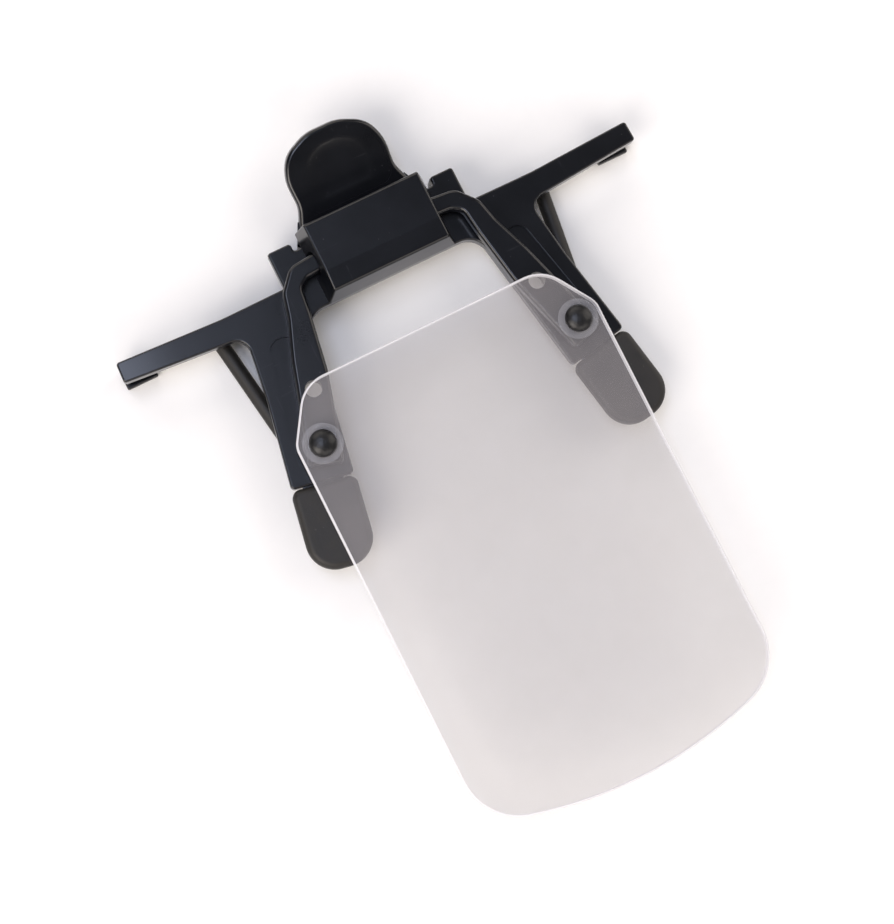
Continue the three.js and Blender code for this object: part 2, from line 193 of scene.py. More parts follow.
def turned(name, profile, x, y, steps=56):
    """A profile of (radius, z) pairs spun about the line parallel to Z through x, y."""
    piece = start_at(name, [at(x + r, y, z) for r, z in profile])
    bpy.ops.mesh.spin(steps=steps, angle=2 * math.pi, center=at(x, y, 0), axis=(0, 0, 1))
    close_up()
    return piece


def bar(name, axis, low, high, centre, radius, sides=56):
    """A round bar along X at (y, z), or along Z at (x, y), from low to high."""
    bpy.ops.object.select_all(action="DESELECT")
    middle = (low + high) / 2
    place = at(middle, *centre) if axis == "X" else at(*centre, middle)
    bpy.ops.mesh.primitive_cylinder_add(
        vertices=sides, radius=radius * MM, depth=(high - low) * MM, location=place,
        rotation=(0, math.pi / 2, 0) if axis == "X" else (0, 0, 0),
    )
    piece = bpy.context.object
    piece.name = name
    bpy.ops.object.transform_apply(location=True, rotation=True)
    return piece


def wire(name, run, radius, round_end=False, sides=6):
    """A round wire laid along a run of points, with flat ends or a rounded far end."""
    bpy.ops.object.select_all(action="DESELECT")
    bpy.ops.curve.primitive_nurbs_path_add()
    piece = bpy.context.object
    piece.name = name
    knots = [(p, 1.0) for p in run]
    if round_end:
        last = (run[-1] - run[-2]).normalized() * radius * MM
        knots += [(run[-1] + last * math.sin(a), math.cos(a)) for a in map(math.radians, ROUND_END)]
    piece.data.splines.clear()
    spline = piece.data.splines.new("POLY")
    spline.points.add(len(knots) - 1)
    for point, (spot, share) in zip(spline.points, knots):
        point.co, point.radius = (*spot, 1), share
    piece.data.dimensions = "3D"
    piece.data.bevel_depth = radius * MM
    piece.data.bevel_resolution = sides
    piece.data.use_fill_caps = True
    bpy.ops.object.convert(target="MESH")
    bpy.ops.object.mode_set(mode="EDIT")
    close_up()
    return piece


# %% [markdown]
# Mouldings have no knife-sharp edges, and a highlight needs a rounded edge to run along. A bevel
# modifier does that. A boolean modifier joins or cuts whole solids, as a mould maker adds and
# takes away metal. Each is applied at once, so a finished piece is a plain mesh.

# %% Tools that change a shape
def choose(piece):
    """Select one piece alone and make it the active one."""
    bpy.ops.object.select_all(action="DESELECT")
    piece.select_set(True)
    bpy.context.view_layer.objects.active = piece


def soften(piece, width, steps=4, sharper_than=35):
    """Round every edge that turns by more than an angle."""
    choose(piece)
    step = piece.modifiers.new("soften", "BEVEL")
    step.width, step.segments = width * MM, steps
    step.limit_method, step.angle_limit = "ANGLE", math.radians(sharper_than)
    step.use_clamp_overlap = False
    bpy.ops.object.modifier_apply(modifier=step.name)
    return piece


def combine(piece, how, *tools):
    """UNION, DIFFERENCE or INTERSECT with each tool in turn; the tools are used up."""
    for tool in tools:
        choose(piece)
        step = piece.modifiers.new("combine", "BOOLEAN")
        step.operation, step.solver, step.object = how, "EXACT", tool
        bpy.ops.object.modifier_apply(modifier=step.name)
        bpy.data.objects.remove(tool)
    return piece


def mirrored(piece, name):
    """A copy with its own mesh, reflected to the other side."""
    choose(piece)
    bpy.ops.object.duplicate()
    twin = bpy.context.object
    twin.name = name
    bpy.ops.object.mode_set(mode="EDIT")
    bpy.ops.mesh.select_all(action="SELECT")
    bpy.ops.transform.resize(value=(-1, 1, 1), center_override=(0, 0, 0))
    close_up()
    return twin


def select_faces(piece, wanted):
    """In edit mode, select only the faces that wanted(centre in mm off the datum, normal) keeps."""
    bpy.ops.mesh.select_all(action="DESELECT")
    bpy.ops.object.mode_set(mode="OBJECT")
    for face in piece.data.polygons:
        face.select = bool(wanted((face.center - DATUM) / MM, face.normal))
    bpy.ops.object.mode_set(mode="EDIT")
    bpy.ops.mesh.select_mode(type="FACE")


# %% [markdown]
# Every piece rides on the body that its node belongs to, stands for that node, and takes the
# finish of that node's slot. The record already says all this, so one helper looks it up, smooths
# the rounded edges and lets the flat faces stay flat.

# %% Put a piece in its node's place
BODY_OF = {node: body for body, nodes in record["behaviour"]["bodies"].items() for node in nodes}
SLOT_OF = {row["node"]: row["material_slot"] for row in record["subparts"]}
made = {}


def place(piece, node, smooth=32):
    """Smooth the edges that turn by less than smooth degrees, and fill the node's place."""
    choose(piece)
    bpy.ops.object.shade_smooth_by_angle(angle=math.radians(smooth))
    flat = piece.modifiers.new("flat faces stay flat", "WEIGHTED_NORMAL")
    flat.keep_sharp = True
    bpy.ops.object.modifier_apply(modifier=flat.name)
    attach(piece, BODY_OF[node])
    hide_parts(node)
    made[node] = piece
    print(f"{piece.name} stands for {node}: {len(piece.data.vertices)} points")
    return piece


# %% [markdown]
# ## The brow frame
# The clip frame is one moulding: a bridge, two side arms with hooks turned back at their ends,
# two ears for the lever pin and two broad front legs. The legs slant, so their corners are easiest
# to give along the leg itself, from the middle of its square end.

# %% Leg space
LEG_TILT = math.radians(10.5)
LEG_END = Vector((28.1, -36.3))
LEG_WIDTH = 11.7


def along_leg(corners):
    """Corners measured from the middle of the right leg's square end, y running up the leg."""
    c, s = math.cos(LEG_TILT), math.sin(LEG_TILT)
    return [(LEG_END.x + x * c - y * s, LEG_END.y + x * s + y * c, *r) for x, y, *r in corners]


(leg_outer, leg_inner) = along_leg([(LEG_WIDTH / 2, 0, 0.8), (-LEG_WIDTH / 2, 0, 0.8)])
print("leg's outer corner in mm:", [round(c, 2) for c in leg_outer])

# %% [markdown]
# From the front the frame is one outline, the same on both sides, so only its right half is
# given. It could be a box cut to shape, but a traced outline keeps every corner a true arc. The
# bridge is thinner than the rest, because the lever and its spring need room behind it.

# %% Trace the frame and thin its bridge from behind
FRAME_THICK = 2.8
EAR_X = (14.2, 18.8)
frame_half = [
    (17.2, -8.0, 4), leg_inner, leg_outer, (30.5, -18.3, 30), (28.9, -6.8, 2.6), (52, -4.9, 0.6),
    (51.8, -1.0, 0.6), (31.5, -2.0, 6), (18.8, -1.9, 0.5), (18.8, 5.1, 0.6), (14.2, 5.1, 0.6),
    (14.2, 3.5, 0.5),
]
brow = soften(traced("brow_frame", both_halves(frame_half), -FRAME_THICK, 0), 0.38)
BRIDGE_HALF, BRIDGE_THICK = 13.95, 1.8
thin = traced("thin", [
    (-BRIDGE_HALF, -6), (BRIDGE_HALF, -6), (BRIDGE_HALF, 7), (-BRIDGE_HALF, 7),
], -FRAME_THICK - 1, -BRIDGE_THICK)
combine(brow, "DIFFERENCE", thin)
print("frame outline points:", len(rounded(both_halves(frame_half))))

# %% [markdown]
# The ear is a round-ended lug around the lever pin and the hook is a letter J. Both are plain in
# outline from the side, so they are traced there. The ear's outer flank leans in towards the back,
# as a mould needs. The right ones are made first, and each is copied to the left.

# %% Ears and hooks
PIN_Y, PIN_Z, PIN_R = 2.15, -4.6, 1.0
EAR_R, EAR_FRONT = 2.95, -0.9
EAR_DRAFT = math.radians(5.5)
ear_end = arc(PIN_Y, PIN_Z, EAR_R, math.pi, 2 * math.pi, 20)
ear = traced("ear", ear_end + [(EAR_TOP, EAR_FRONT), (-0.8, EAR_FRONT)], *EAR_X, "X")
bpy.ops.object.mode_set(mode="EDIT")
select_faces(ear, lambda centre, normal: normal.x > 0.99)
bpy.ops.transform.rotate(value=-EAR_DRAFT, orient_axis="Y",
                         center_override=at(EAR_X[1], 0, EAR_FRONT))
bpy.ops.object.mode_set(mode="OBJECT")
soften(ear, 0.3, 3)
hook_side = [
    (-1.2, -1.4), (-1.2, -8.8, 0.8), (-5.2, -8.8, 0.5), (-5.2, -7.4, 0.4), (-2.7, -7.4, 0.5),
    (-2.7, -1.4),
]
HOOK_X = (45.7, 51.8)
hook = soften(traced("hook", hook_side, *HOOK_X, "X"), 0.28, 3)
TONGUE_Z = (-2.1, -0.5)
tongue = traced("tongue", along_leg([
    (-3.8, 1.5), (3.8, 1.5), (3.8, -12.5, 2.8), (-3.8, -12.5, 2.8),
]), *TONGUE_Z)
soften(tongue, 0.3, 2)
twins = [mirrored(p, p.name + "_twin") for p in (ear, hook, tongue)]
combine(brow, "UNION", ear, hook, tongue, *twins)
print("frame with ears and hooks:", len(brow.data.vertices), "points")

# %% [markdown]
# A shallow channel runs down the front of each leg, and the ears are bored for the lever pin. The
# bore is blind, so that the pin can't work out. Two small holes behind take the housing's pegs, and
# a sight hole goes through each leg behind the one in the yoke.

# %% Channels, bores and peg holes
CHANNEL_DEPTH = 0.45
PIN_PLAY = 0.08
PEG_X, PEG_Y, PEG_R = 7, -7.1, 0.75
SIGHT_X, SIGHT_Y, SIGHT_R = 22.5, -21.0, 1.55
PAST_FRAME = (-4, 1)
channel = traced("channel", along_leg([
    (-3.4, 2.2, 1.4), (3.6, 2.2, 1.4), (2.6, 27, 2.4), (-2.4, 27, 2.4),
]), -CHANNEL_DEPTH, 1)
pin_bore = bar("pin_bore", "X", 13.2, 18.38, (PIN_Y, PIN_Z), PIN_R + PIN_PLAY)
peg_hole = bar("peg_hole", "Z", *PAST_FRAME, (PEG_X, PEG_Y), PEG_R + 0.1, 32)
leg_hole = bar("leg_hole", "Z", *PAST_FRAME, (SIGHT_X, SIGHT_Y), SIGHT_R + 0.6, 48)
cutters = [channel, pin_bore, peg_hole, leg_hole]
cutters += [mirrored(p, p.name + "_twin") for p in cutters]
combine(brow, "DIFFERENCE", *cutters)
place(brow, "clip_frame")

# %% [markdown]
# ## Rubber leg sleeves
# A soft rubber sleeve is pushed over the tongue at the end of each leg, so the spectacle lens
# isn't scratched. It is a plump rounded pad, so its edges get a wide bevel in many steps, and it
# is hollow where the tongue goes in.

# %% Leg sleeves
SLEEVE_HALF, SLEEVE_LONG = 6.1, 15.9
SLEEVE_Z, ROOM_Z = (-3.1, 0.5), (-2.3, -0.3)
sleeve = traced("right_leg_pad", along_leg([
    (-SLEEVE_HALF, -0.2, 1.7), (SLEEVE_HALF, -0.2, 1.7), (SLEEVE_HALF, -SLEEVE_LONG, 5.3),
    (-SLEEVE_HALF, -SLEEVE_LONG, 5.3),
]), *SLEEVE_Z)
soften(sleeve, 1.25, 7)
room = traced("room", along_leg([(-4, 1), (4, 1), (4, -12.7, 2.9), (-4, -12.7, 2.9)]), *ROOM_Z)
combine(sleeve, "DIFFERENCE", room)
place(mirrored(sleeve, "left_leg_pad"), "left_leg_sleeve")
place(sleeve, "right_leg_sleeve")

# %% [markdown]
# ## Hinge housing
# The housing covers the middle of the yoke and the leaf spring that makes it click. It is traced
# from the side. Its flanks are drafted, as a moulding must be to leave its mould, so every level
# of its points is drawn in towards the middle a little more than the one below it.

# %% Trace the housing and draft its flanks
ROOT_HALF, FRONT_HALF = 12.8, 11.4
HOUSING_FOOT, HOUSING_TOP = 0.2, 6.6
SAME_LEVEL = 0.001
housing = traced("hinge_housing", [
    (-8.2, HOUSING_FOOT), (-7.2, 6.1, 0.7), (-3.3, HOUSING_TOP, 2), (5.9, HOUSING_TOP, 0.7),
    (6.2, HOUSING_FOOT),
], -ROOT_HALF, ROOT_HALF, "X")
levels = sorted({round((v.co.z - DATUM.z) / MM, 3) for v in housing.data.vertices})
bpy.ops.object.mode_set(mode="EDIT")
for level in levels:
    bpy.ops.mesh.select_all(action="DESELECT")
    bpy.ops.object.mode_set(mode="OBJECT")
    for v in housing.data.vertices:
        v.select = abs((v.co.z - DATUM.z) / MM - level) < SAME_LEVEL
    bpy.ops.object.mode_set(mode="EDIT")
    bpy.ops.mesh.select_mode(type="VERT")
    height = (level - HOUSING_FOOT) / (HOUSING_TOP - HOUSING_FOOT)
    share = 1 - (1 - FRONT_HALF / ROOT_HALF) * height
    bpy.ops.transform.resize(value=(share, 1, 1), center_override=(0, 0, 0))
bpy.ops.object.mode_set(mode="OBJECT")
soften(housing, 0.3, 4)
print("drafted levels:", len(levels))

# %% [markdown]
# Inside, the housing is a thin shell over the leaf spring. Each flank has a slot that is open at
# the back, so the yoke's journals drop in before the housing is pressed onto the frame by its two
# pegs. A slot is a round bar and a block behind it, cut away together from both flanks at once.

# %% Hollow it, and slot its flanks for the yoke's journals
WALL, HOLLOW_HALF, PAST_FLANKS = 1.1, 9.9, 14
FLIP_Y, FLIP_Z, JOURNAL_R = -0.6, 2.6, 2.0
SLOT_R = JOURNAL_R + 0.3
hollow = traced("hollow", [
    (-HOLLOW_HALF, -6.2), (HOLLOW_HALF, -6.2), (HOLLOW_HALF, 4.7), (-HOLLOW_HALF, 4.7),
], -1, HOUSING_TOP - WALL)
journal_room = bar("journal_room", "X", -PAST_FLANKS, PAST_FLANKS, (FLIP_Y, FLIP_Z), SLOT_R)
slot = traced("slot", [
    (FLIP_Y - SLOT_R, -1), (FLIP_Y + SLOT_R, -1), (FLIP_Y + SLOT_R, FLIP_Z),
    (FLIP_Y - SLOT_R, FLIP_Z),
], -PAST_FLANKS, PAST_FLANKS, "X")
combine(housing, "DIFFERENCE", hollow, journal_room, slot)
pegs = [bar("peg", "Z", -2.5, 1, (side * PEG_X, PEG_Y), PEG_R, 32) for side in (-1, 1)]
combine(housing, "UNION", *pegs)
place(housing, "hinge_cover")

# %% [markdown]
# ## Yoke
# The yoke is a four-sided bar under the leaf spring, a round journal on each side and two long
# arms. The arms are flat bars that are well rounded, so the light draws a line along each edge.
# They could be bent from straight bars, but their width changes on the way, so they are traced.

# %% Arms
yoke_half = [
    (11.2, 1.1, 0.8), (16.6, 0.6, 3), (19.9, -3.2, 3), (21.0, -7.6, 5), (23.7, -14.6, 20),
    (29.5, -33.2, 0.9), (23.4, -35.2, 0.9), (18.7, -19.2, 6), (16.8, -8.4, 6), (16.2, -3.7, 1.6),
    (14.4, -2.5, 1.2), (11.2, -2.3, 0.8),
]
YOKE_Z = (1.25, 3.95)
RIVET_X, RIVET_Y, RIVET_R, RIVET_PLAY = 25.6, -30.7, 1.2, 0.15
PAST_PLATE = (0, 9)
arm = soften(traced("arm", yoke_half, *YOKE_Z), 0.68, 5)
sight = bar("sight", "Z", *PAST_PLATE, (SIGHT_X, SIGHT_Y), SIGHT_R)
rivet_hole = bar("rivet_hole", "Z", *PAST_PLATE, (RIVET_X, RIVET_Y), RIVET_R + RIVET_PLAY)
combine(arm, "DIFFERENCE", sight, rivet_hole)
other_arm = mirrored(arm, "other_arm")
print("arm:", len(arm.data.vertices), "points")

# %% [markdown]
# The leaf spring clicks on the flats of the middle bar, so that bar is square with rounded
# corners. Beside it the round journals turn in the housing's flanks. They end inside the flanks,
# where the arms take over, so only the smooth arms come out. All of it becomes one solid.

# %% Cam bar and journals
CAM_HALF, CAM_CORNER, CAM_END = 1.75, 0.8, 9
JOURNAL_X = (8.9, 11.6)
square = [(FLIP_Y + u * CAM_HALF, FLIP_Z + v * CAM_HALF, CAM_CORNER)
          for u, v in ((-1, -1), (1, -1), (1, 1), (-1, 1))]
yoke = traced("flip_yoke_arms", square, -CAM_END, CAM_END, "X")
journals = [bar("journal", "X", low, high, (FLIP_Y, FLIP_Z), JOURNAL_R)
            for low, high in ((-JOURNAL_X[1], -JOURNAL_X[0]), JOURNAL_X)]
combine(yoke, "UNION", *journals, arm, other_arm)
place(yoke, "yoke")

# %% [markdown]
# ## View plate
# The plate is cut from flat clear sheet: straight sides, clipped top corners, and a shallow arc
# below that runs into two rounded corners. Its edges are only eased, which keeps the thin bright
# line that polished sheet shows along its edge.

# %% Plate outline
PLATE_X, PLATE_TOP, PLATE_Z, PLATE_THICK = 30.2, -19.6, 4.15, 1.5
CLIPPED_X, CLIPPED_Y = 24.0, -29.2
ARC_R, ARC_Y, CORNER_R = 80, -28.5, 11
corner_x = PLATE_X - CORNER_R
corner_y = ARC_Y - math.sqrt((ARC_R - CORNER_R) ** 2 - corner_x ** 2)
meet = math.atan2(corner_y - ARC_Y, corner_x)
plate_outline = [
    *arc(0, ARC_Y, ARC_R, -math.pi - meet, meet, 28),
    *arc(corner_x, corner_y, CORNER_R, meet, 0, 12)[1:],
    (PLATE_X, CLIPPED_Y, 4), (CLIPPED_X, PLATE_TOP, 7), (-CLIPPED_X, PLATE_TOP, 7),
    (-PLATE_X, CLIPPED_Y, 4),
    *arc(-corner_x, corner_y, CORNER_R, -math.pi, -math.pi - meet, 12)[:-1],
]
plate = traced("view_plate", plate_outline, PLATE_Z, PLATE_Z + PLATE_THICK)
soften(plate, 0.36, 3)
holes = [bar("hole", "Z", *PAST_PLATE, (side * RIVET_X, RIVET_Y), RIVET_R + RIVET_PLAY, 40)
         for side in (-1, 1)]
combine(plate, "DIFFERENCE", *holes)
place(plate, "lens_plate")

# %% [markdown]
# ## Rivets, washers and rings
# Each side of the plate is held by a black domed rivet on a clear washer, with a push-on ring
# behind the arm. All three are round, so each is a profile that is spun about the rivet's axis.

# %% Turned fixings
PLATE_FRONT = PLATE_Z + PLATE_THICK
WASHER_LOW, WASHER_R, WASHER_THICK = PLATE_FRONT + 0.15, 3.7, 0.4
SEAT = WASHER_LOW + WASHER_THICK + 0.1
HEAD_R, RIM, DOME = 2.5, 0.35, 1.25
TAIL = 0.22
RING_R, RING_LOW, RING_TOP = 2.3, 0.45, YOKE_Z[0] - 0.12


def eased(points, ease, closed=True):
    """A profile with each of its corners cut back to a small three-point curve."""
    out = []
    for i, (r, z) in enumerate(points):
        here = Vector((r, z))
        last, after = Vector(points[i - 1]), Vector(points[(i + 1) % len(points)])
        if r == 0:
            out.append((r, z))
            continue
        a, b = (here + (p - here).normalized() * ease for p in (last, after))
        mid = (a + b) / 4 + here / 2
        out += [tuple(a), tuple(mid), tuple(b)]
    return out + [out[0]] if closed else out


washer_side = eased([
    (RIVET_R + 0.1, WASHER_LOW), (WASHER_R, WASHER_LOW), (WASHER_R, WASHER_LOW + WASHER_THICK),
    (RIVET_R + 0.1, WASHER_LOW + WASHER_THICK),
], 0.12)
dome = [(HEAD_R * math.cos(a), SEAT + RIM + DOME * math.sin(a))
        for a in [math.pi / 2 * k / 14 for k in range(14)]]
rivet_side = [(0, TAIL), *eased([(RIVET_R, TAIL), (RIVET_R, SEAT)], 0.2, False)[:3], (RIVET_R, SEAT),
              (HEAD_R - 0.12, SEAT), (HEAD_R, SEAT + 0.12), *dome, (0, SEAT + RIM + DOME)]
ring_side = eased([
    (RIVET_R + 0.05, RING_LOW), (RING_R, RING_LOW), (RING_R, RING_TOP), (RIVET_R + 0.05, RING_TOP),
], 0.1)
for name, node, side in (("washer", "rivet_washer", washer_side), ("rivet_dome", "rivet", rivet_side),
                         ("push_ring", "rivet_ring", ring_side)):
    piece = turned("right_" + name, side, RIVET_X, RIVET_Y)
    place(mirrored(piece, "left_" + name), "left_" + node, 40)
    place(piece, "right_" + node, 40)

# %% [markdown]
# ## Thumb lever
# The tab that the thumb presses is a rounded tongue with a shallow dish. The dish could be sunk
# with a curved cutter, but its rim has to roll over softly, so it is cut in two levels: a shallow
# wide one, and a deeper one that narrows downwards and has a soft bottom edge.

# %% Tab with its dish
TAB_Z = (-4.0, -1.6)
tab_half = [(11.4, 6.6, 1), (9.7, 10.8, 5), (10.0, 16.1, 8), (8.2, 20.3, 7), (3.2, 22.6, 8)]
tab = soften(traced("thumb_tab", both_halves(tab_half), *TAB_Z), 0.72, 5)
RIM_FLOOR, DISH_FLOOR = TAB_Z[1] - 0.1, TAB_Z[1] - 0.32
rim = traced("rim", both_halves([
    (8.6, 8.4, 2.4), (9.0, 15.9, 7), (7.3, 19.5, 6), (2.9, 21.6, 7),
]), RIM_FLOOR, 1)
dish = traced("dish", both_halves([
    (7.9, 9.0, 2), (8.6, 15.7, 6), (6.9, 19.0, 5), (2.7, 21.1, 6),
]), DISH_FLOOR, TAB_Z[1] + 0.05)
bpy.ops.object.mode_set(mode="EDIT")
select_faces(dish, lambda centre, normal: centre.z < DISH_FLOOR + 0.01)
bpy.ops.transform.resize(value=(0.55, 0.6, 1), center_override=at(0, 15, 0))
bpy.ops.object.mode_set(mode="OBJECT")
combine(tab, "DIFFERENCE", rim, soften(dish, 0.9, 5, 3))
print("tab:", len(tab.data.vertices), "points")

# %% [markdown]
# The tab leans forwards, to where a thumb can press it. Behind the spring a web joins it to two
# cheeks that turn on the pin. The web is traced from the side and pulled across the whole width,
# and each cheek is a narrow slab with a round hub. From the front the lever widens towards the
# pin like a skirt. Four slanted cuts could do that, but one trim to a traced outline is simpler.

# %% Lean the tab, and join the web and the cheeks to it
TAB_LEAN, BEND_Y = 20, 7.5
choose(tab)
bpy.ops.object.mode_set(mode="EDIT")
bpy.ops.mesh.select_all(action="SELECT")
bpy.ops.transform.rotate(value=-math.radians(TAB_LEAN), orient_axis="X",
                         center_override=at(0, BEND_Y, sum(TAB_Z) / 2))
bpy.ops.object.mode_set(mode="OBJECT")
print("highest point of the tab in mm:", round(max(v.co.z for v in tab.data.vertices) / MM, 2))
ROOT_FRONT = TAB_Z[1] - 0.95
WEB_HALF, CHEEK_X, HUB_X, HUB_R = 12, (11.7, 13.9), (11.6, 13.8), 2.45
web = traced("web", [
    (8.4, ROOT_FRONT), (8.4, -3.6, 1), (7.0, -6.6, 1), (4.8, -8.5, 1), (-4.6, -8.5, 0.6),
    (-4.6, -7.2, 0.3), (3.7, -7.2, 0.8), (5.5, -5.4, 0.8), (6.2, -3.4, 0.6), (6.2, ROOT_FRONT, 0.4),
], -WEB_HALF, WEB_HALF, "X")
cheek = traced("cheek", [
    (8.5, ROOT_FRONT), (8.5, -3.6, 1), (7.0, -6.6, 1), (4.8, -8.5, 1), (-4.6, -8.5, 0.6),
    (-4.6, -3.6, 1), (-0.3, -3.6, 0.3), (-0.3, -4.6), (4.6, -4.6), (5.3, -3.6, 0.4),
    (6.3, ROOT_FRONT, 0.3),
], *CHEEK_X, "X")
combine(cheek, "UNION", bar("hub", "X", *HUB_X, (PIN_Y, PIN_Z), HUB_R))
combine(web, "UNION", mirrored(cheek, "cheek_twin"), cheek)
WIRE_Y, WIRE_Z, WIRE_R = -2.5, -6.3, 0.7
bores = [bar("bore", "X", *span, centre, radius) for span in ((-15, -11), (11, 15))
         for centre, radius in (((PIN_Y, PIN_Z), PIN_R + PIN_PLAY),
                                ((WIRE_Y, WIRE_Z), WIRE_R + 0.1))]
combine(web, "DIFFERENCE", *bores)
flare = traced("flare", both_halves([
    (14.5, -6), (14.1, 0.5, 2), (13.0, 4.2, 1), (11.5, 7.2, 1), (9.7, 11),
]), -12, 1)
combine(web, "INTERSECT", flare)
combine(tab, "UNION", web)
place(tab, "thumb_lever")

# %% [markdown]
# ## Rear jaw
# The jaw behind the lens is one bent steel wire: across behind the frame, round a bend past each
# ear, and down to a foot behind the leg sleeve. Each strut wears a rubber tube with a closed,
# rounded end. The wire comes forwards as it runs down, so the foot bears on the sleeve.

# %% Route of the wire
FOOT_X, FOOT_Y, FOOT_Z = 27.4, -46.6, -4.75
SHOULDER_X, SHOULDER_Y, BEND = 33.1, -5.2, 2.6
TUBE_R, TUBE_START = 1.4, 14.3
BEND_STEPS = 16


def jaw_run(start_x):
    """Points along the wire: across from start_x, round the bend at the shoulder, down to the foot."""
    down = Vector((FOOT_X - SHOULDER_X, FOOT_Y - SHOULDER_Y)).normalized()
    corner = Vector((SHOULDER_X + (WIRE_Y - SHOULDER_Y) * down.x / down.y, WIRE_Y))
    a, b = corner - Vector((BEND, 0)), corner + down * BEND
    flat = [Vector((start_x, WIRE_Y))]
    for k in range(BEND_STEPS + 1):
        t = k / BEND_STEPS
        flat.append(a * (1 - t) ** 2 + corner * 2 * t * (1 - t) + b * t * t)
    flat.append(Vector((FOOT_X, FOOT_Y)))
    drop = (FOOT_Z - WIRE_Z) / (FOOT_Y - WIRE_Y)
    return [at(p.x, p.y, WIRE_Z + drop * (p.y - WIRE_Y)) for p in flat]


run = jaw_run(TUBE_START)
last = (run[-1] - run[-2]).normalized() * MM
whole = [Vector((-p.x, p.y, p.z)) for p in reversed(run[1:])] + run[1:]
steel_jaw = wire("jaw_wire", whole, WIRE_R, sides=5)
place(steel_jaw, "rear_wire", 40)
tube = wire("right_jaw_tube", run[:-1] + [run[-1] + last * 0.6], TUBE_R, round_end=True, sides=8)
bore = wire("bore", [run[0] - Vector((MM, 0, 0))] + run[1:-1] + [run[-1] + last * 0.2], WIRE_R + 0.12)
combine(tube, "DIFFERENCE", bore)
place(mirrored(tube, "left_jaw_tube"), "left_rear_sleeve", 40)
place(tube, "right_rear_sleeve", 40)

# %% [markdown]
# ## Pin and torsion spring
# The steel pin is a turned rod with eased ends. The torsion spring sits round it: one leg bears
# on the lever's web and the other on the back of the bridge, and it presses the jaw shut.

# %% Pin and spring
PIN_HALF = 18.3
pin = soften(bar("hinge_pin", "X", -PIN_HALF, PIN_HALF, (PIN_Y, PIN_Z), PIN_R), 0.15, 3)
place(pin, "lever_pin", 40)
COIL_R, COIL_WIRE, COIL_HALF, COIL_TURNS = 1.75, 0.32, 6.2, 9.5
POINTS_PER_TURN = 28
coil = [at(-COIL_HALF, -1.2, PIN_Z - 2.22)]
count = round(COIL_TURNS * POINTS_PER_TURN)
for k in range(count + 1):
    a = 2 * math.pi * k / POINTS_PER_TURN
    coil.append(at(-COIL_HALF + 2 * COIL_HALF * k / count, PIN_Y + COIL_R * math.sin(a),
                   PIN_Z - COIL_R * math.cos(a)))
coil.append(at(COIL_HALF, -2.8, PIN_Z + 2.4))
spring = wire("torsion_coil", coil, COIL_WIRE, sides=3)
place(spring, "torsion_spring", 40)

# %% [markdown]
# # Finishes
# A finish is a small sum: a pattern of noise, in millimetres on the object itself, changes the
# colour, the roughness and the height a little. Math nodes could be laid and linked one by one,
# but the class below lets a sum be written as a sum, and it lays the nodes itself.

# %% Sums on sockets
class Value:
    """A socket that carries a number, and adds Math nodes when it is used in a sum."""

    def __init__(self, recipe, socket):
        self.recipe, self.socket = recipe, socket

    def math(self, operation, *values):
        return self.recipe.node("ShaderNodeMath", {"operation": operation}, dict(enumerate(values)))

    def __add__(self, other):
        return self.math("ADD", self, other)

    def __sub__(self, other):
        return self.math("SUBTRACT", self, other)

    def __mul__(self, other):
        return self.math("MULTIPLY", self, other)

    __radd__, __rmul__ = __add__, __mul__

    def above(self, level, soft):
        """0 below level, rising to 1 over the width soft."""
        settings = {"clamp": True, "interpolation_type": "SMOOTHSTEP"}
        inputs = {"Value": self, "From Min": level, "From Max": level + soft}
        return self.recipe.node("ShaderNodeMapRange", settings, inputs)


# %% [markdown]
# Every material starts the same way: one shader, fed by patterns that sit still on the object. So
# a recipe holds the material, and has one short line for each thing that a finish needs: noise,
# a blend of two colours, a bump, and feeding the shader's sockets.

# %% A recipe for one material
FINEST_SHARE = 0.55  # how strong each finer layer of noise is beside the one before


class Recipe:
    """One material, and the tools that build its patterns."""

    def __init__(self, name):
        self.material = bpy.data.materials.new(name)
        self.material.use_nodes = True
        self.tree = self.material.node_tree
        self.shader = self.tree.nodes["Principled BSDF"]
        self.here = self.node("ShaderNodeTexCoord", output="Object")

    def node(self, kind, settings=None, inputs=None, output=0):
        """Any node: its settings first, then values or links for its sockets."""
        made_node = self.tree.nodes.new(kind)
        for key, value in (settings or {}).items():
            setattr(made_node, key, value)
        for key, value in (inputs or {}).items():
            self.feed(made_node.inputs[key], value)
        return Value(self, made_node.outputs[output])

    def feed(self, socket, value):
        if isinstance(value, Value):
            self.tree.links.new(value.socket, socket)
        else:
            socket.default_value = value

    def noise(self, size, detail=2.0, stretch=(1, 1, 1), turn=0.0, seed=0.0):
        """Noise from 0 to 1 whose blotches are about size millimetres across."""
        spot = self.node("ShaderNodeMapping", None, {
            "Vector": self.here, "Location": (seed, seed, seed), "Rotation": (0, 0, turn),
            "Scale": stretch,
        })
        inputs = {"Vector": spot, "Scale": 1 / (size * MM), "Detail": detail,
                  "Roughness": FINEST_SHARE}
        return self.node("ShaderNodeTexNoise", None, inputs)

    def blend(self, share, first, second):
        """A colour between two colours."""
        first, second = (c if isinstance(c, Value) else (*c, 1) for c in (first, second))
        settings = {"data_type": "RGBA", "blend_type": "MIX"}
        return self.node("ShaderNodeMix", settings, {0: share, 6: first, 7: second}, output=2)

    def bump(self, height, depth):
        """Tips the surface as if height, from 0 to 1, were depth millimetres high."""
        inputs = {"Height": height, "Distance": depth * MM, "Strength": 1.0}
        return self.node("ShaderNodeBump", None, inputs)

    def finish(self, **sockets):
        """Feed the shader's sockets by name, with _ for a space, and hand over the material."""
        for key, value in sockets.items():
            self.feed(self.shader.inputs[key.replace("_", " ")], value)
        print(f"{self.material.name}: {len(self.tree.nodes)} nodes")
        return self.material


